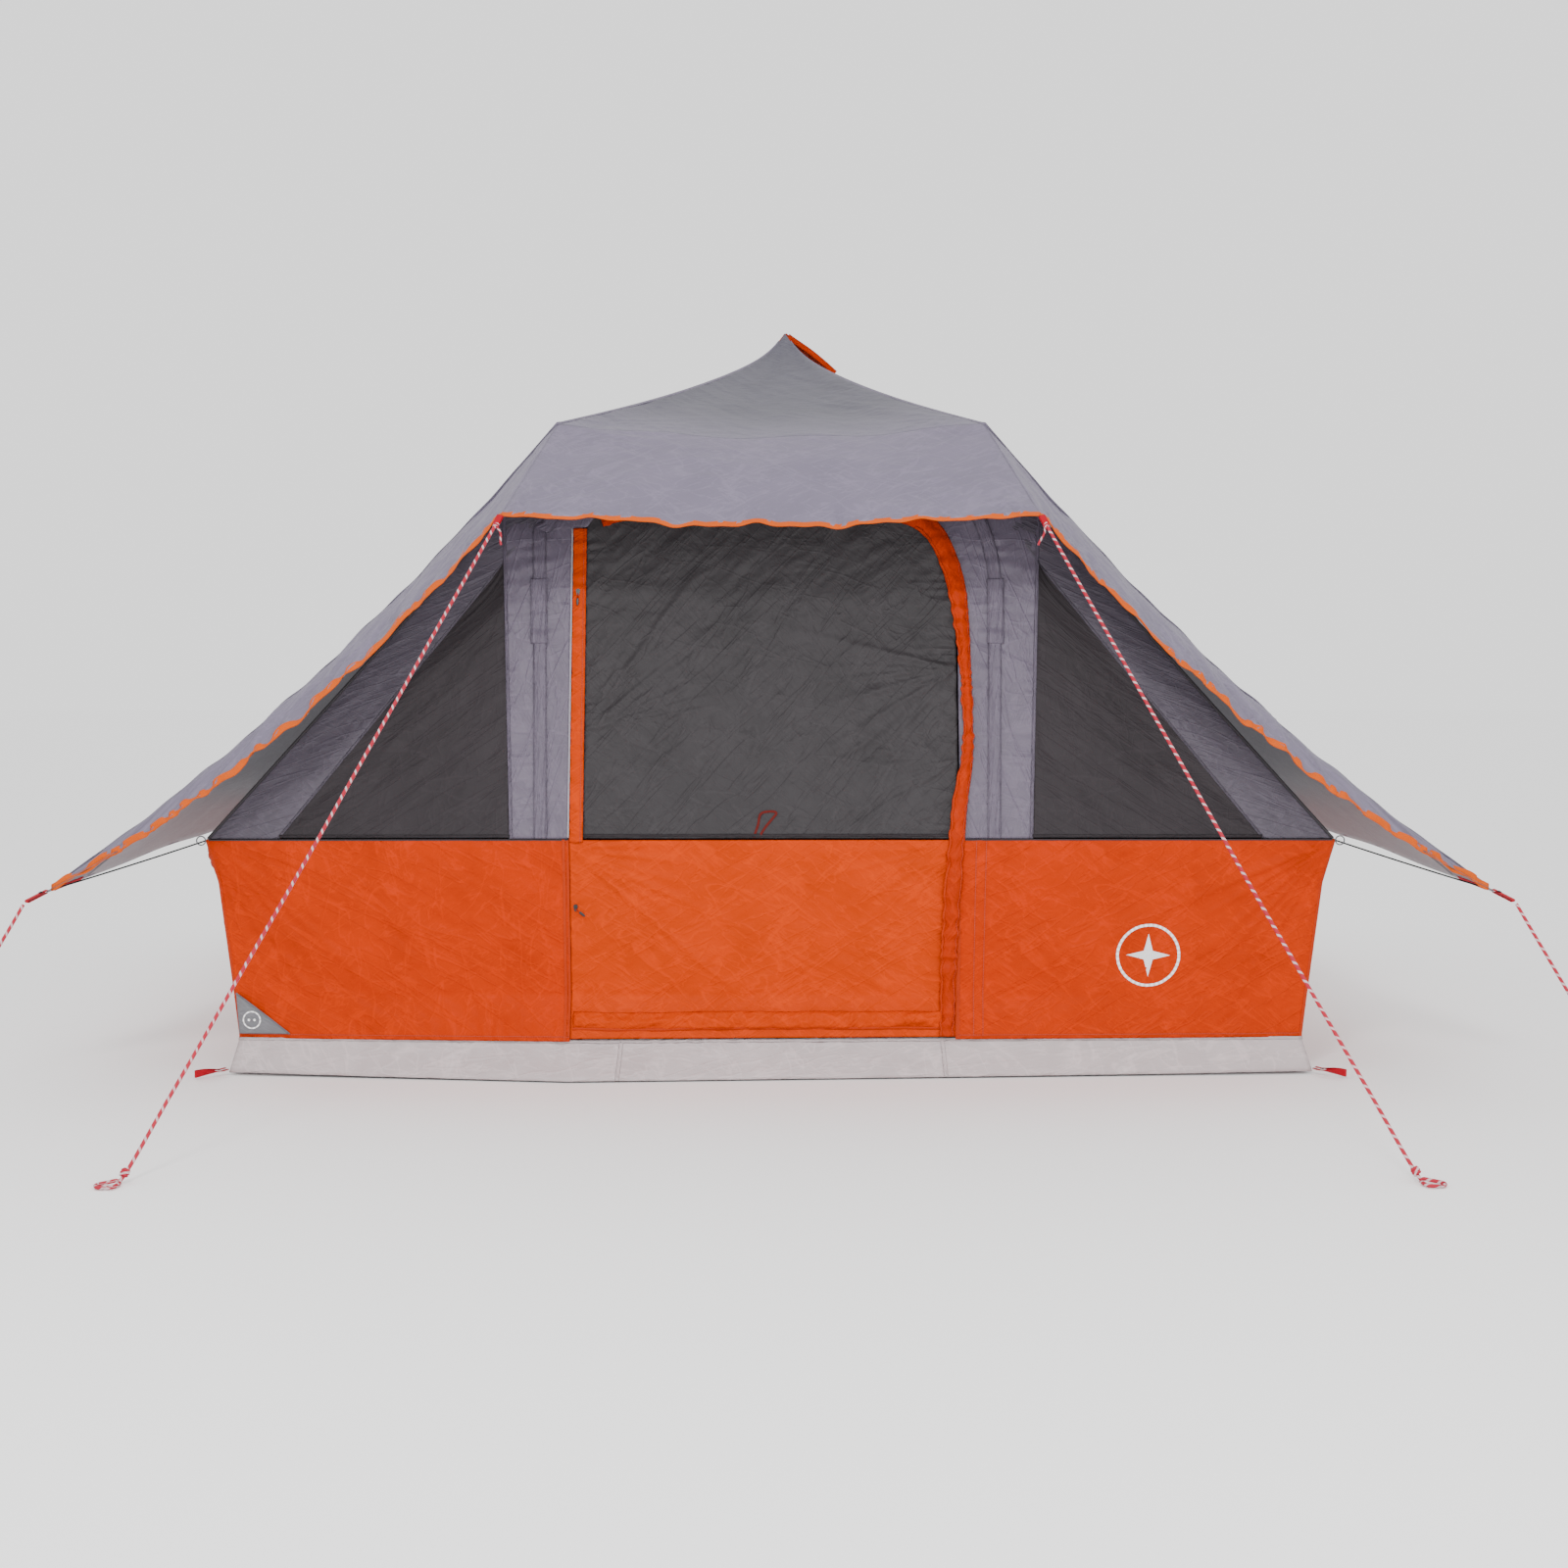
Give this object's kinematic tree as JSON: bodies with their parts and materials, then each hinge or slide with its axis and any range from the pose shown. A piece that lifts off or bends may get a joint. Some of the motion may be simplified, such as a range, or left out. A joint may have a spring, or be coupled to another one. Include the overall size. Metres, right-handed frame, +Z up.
{
  "type": "dome tent",
  "caption": "Family camping tent with a grey flysheet, an orange and grey inner tent, a mesh-windowed front, a zipped door and striped guy ropes.",
  "frame": {"origin": "middle of the groundsheet, on the ground", "axes": "+X to the right of someone facing the door, -Y out of the door, +Z up"},
  "size_m": [5.143, 5.4037, 2.632],
  "materials": {
    "tray_cloth": "coated woven cloth, satin",
    "orange_cloth": "woven nylon",
    "lilac_cloth": "woven nylon",
    "inner_cloth": "breathable woven cloth",
    "net": "fine dark net",
    "fly_cloth": "coated ripstop cloth",
    "patch_cloth": "heavy woven cloth",
    "pole_steel": "plated tube",
    "foot_rubber": "matte",
    "black_plastic": "moulded",
    "webbing": "woven webbing",
    "rope": "braided, red and white",
    "elastic": "braided elastic"
  },
  "bodies": {
    "tent": {"groundsheet": "tray_cloth", "lower_wall_front_left": "orange_cloth", "lower_wall_front_right": "orange_cloth", "lower_wall_left": "orange_cloth", "lower_wall_right": "orange_cloth", "lower_wall_rear": "orange_cloth", "door_zip_flap": "orange_cloth", "front_panel_left": "lilac_cloth", "front_panel_right": "lilac_cloth", "door_header": "lilac_cloth", "upper_wall_left": "inner_cloth", "upper_wall_right": "inner_cloth", "upper_wall_rear": "inner_cloth", "inner_roof_front": "inner_cloth", "front_window_left": "net", "front_window_right": "net", "fly_roof_front": "fly_cloth", "fly_canopy": "fly_cloth", "fly_side_left": "fly_cloth", "fly_side_right": "fly_cloth", "fly_wing_left": "fly_cloth", "fly_wing_right": "fly_cloth", "fly_rear": "fly_cloth", "centre_pole_lower": "pole_steel", "centre_pole_middle": "pole_steel", "centre_pole_upper": "pole_steel", "door_pole_left_lower": "pole_steel", "door_pole_left_upper": "pole_steel", "door_pole_right_lower": "pole_steel", "door_pole_right_upper": "pole_steel", "centre_pole_foot": "foot_rubber", "centre_pole_cap": "black_plastic", "canopy_loop_left": "webbing", "canopy_loop_right": "webbing", "tip_loop_front_left": "webbing", "tip_loop_front_right": "webbing", "tip_loop_rear_left": "webbing", "tip_loop_rear_right": "webbing", "peg_loop_front_left": "webbing", "peg_loop_front_right": "webbing", "peg_loop_rear_left": "webbing", "peg_loop_rear_right": "webbing", "guy_rope_canopy_left": "rope", "guy_rope_canopy_right": "rope", "guy_rope_tip_left": "rope", "guy_rope_tip_right": "rope", "corner_cord_front_left": "elastic", "corner_cord_front_right": "elastic", "corner_cord_rear_left": "elastic", "corner_cord_rear_right": "elastic"},
    "door": {"door_lower_panel": "orange_cloth", "door_window_panel": "net", "door_edge_strip": "orange_cloth"},
    "upper_slider": {"zip_upper_slider": "black_plastic"},
    "upper_pull": {"zip_upper_pull": "black_plastic"},
    "lower_slider": {"zip_lower_slider": "black_plastic"},
    "lower_pull": {"zip_lower_pull": "black_plastic"},
    "vent_hood": {"vent_hood": "orange_cloth"},
    "vent_prop": {"vent_prop": "black_plastic"},
    "cable_flap": {"cable_port_flap": "patch_cloth"}
  },
  "joints": [
    {"name": "door_swing", "type": "hinge", "parent": "tent", "child": "door", "pos_m": [0.6, -1.708, 0.128], "axis": [0, -0.0909, -0.9959], "range_deg": [0, 80]},
    {"name": "upper_zip_slide", "type": "slide", "parent": "door", "child": "upper_slider", "axis": [0, 0.209, 0.9779], "range_m": [-0.75, 0.16]},
    {"name": "lower_zip_slide", "type": "slide", "parent": "door", "child": "lower_slider", "axis": [0, -0.1091, 0.994], "range_m": [-0.24, 0.16]},
    {"name": "upper_pull_swing", "type": "hinge", "parent": "upper_slider", "child": "upper_pull", "pos_m": [-0.6225, -1.626, 1.543], "axis": [-1, 0, 0], "range_deg": [0, 80]},
    {"name": "lower_pull_swing", "type": "hinge", "parent": "lower_slider", "child": "lower_pull", "pos_m": [-0.6225, -1.7697, 0.538], "axis": [-1, 0, 0], "range_deg": [0, 80]},
    {"name": "vent_hood_close", "type": "hinge", "parent": "tent", "child": "vent_hood", "pos_m": [0.055, 0.012, 2.632], "axis": [-1, 0, 0], "range_deg": [0, 7]},
    {"name": "vent_prop_fold", "type": "hinge", "parent": "vent_hood", "child": "vent_prop", "pos_m": [0.055, 0.2, 2.4885], "axis": [1, 0, 0], "range_deg": [0, 52.5]},
    {"name": "cable_flap_open", "type": "hinge", "parent": "tent", "child": "cable_flap", "pos_m": [-1.709, -1.7275, 0.197], "axis": [0.0445, 0.1089, -0.9931], "range_deg": [0, 70]}
  ],
  "couplings": [
    {"joint": "vent_prop_fold", "follows": "vent_hood_close", "ratio": 7.5}
  ]
}
